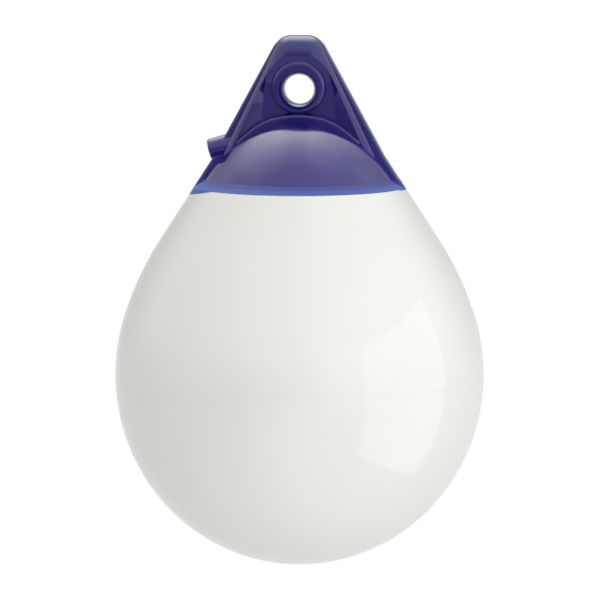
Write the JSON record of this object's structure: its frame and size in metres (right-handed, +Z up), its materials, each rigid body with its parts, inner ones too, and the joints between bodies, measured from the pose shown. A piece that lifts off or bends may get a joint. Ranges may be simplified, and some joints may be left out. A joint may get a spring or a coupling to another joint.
{
  "type": "mooring buoy",
  "caption": "Inflatable round mooring buoy: a glossy teardrop shell with a solid moulded rope hold, a rope eye and a screw-down air valve.",
  "frame": {"origin": "centre of the rope eye, on the axis of the round body", "axes": "+Z up along the body's axis, from the bottom towards the rope eye; +Y along the eye's axis; the air valve points to -X"},
  "size_m": [0.2034, 0.2034, 0.2926],
  "materials": {
    "shell": "glossy white inflated vinyl",
    "hold": "satin navy blue moulded vinyl",
    "insert": "black moulded nylon",
    "screw": "black moulded nylon",
    "seal": "soft black rubber"
  },
  "bodies": {
    "buoy": {"body_shell": "shell", "rope_hold": "hold", "valve_insert": "insert"},
    "seal": {"valve_seal": "seal"},
    "screw": {"valve_screw": "screw"}
  },
  "joints": [
    {"name": "valve_travel", "type": "slide", "parent": "buoy", "child": "seal", "axis": [-0.9703, 0, -0.2419], "range_m": [0, 0.009]},
    {"name": "valve_turn", "type": "hinge", "parent": "seal", "child": "screw", "pos_m": [-0.05, 0, -0.0339], "axis": [-0.9703, 0, -0.2419], "range_deg": [0, 2160]}
  ],
  "couplings": [
    {"joint": "valve_turn", "follows": "valve_travel", "rad_per_m": 4188.8}
  ]
}
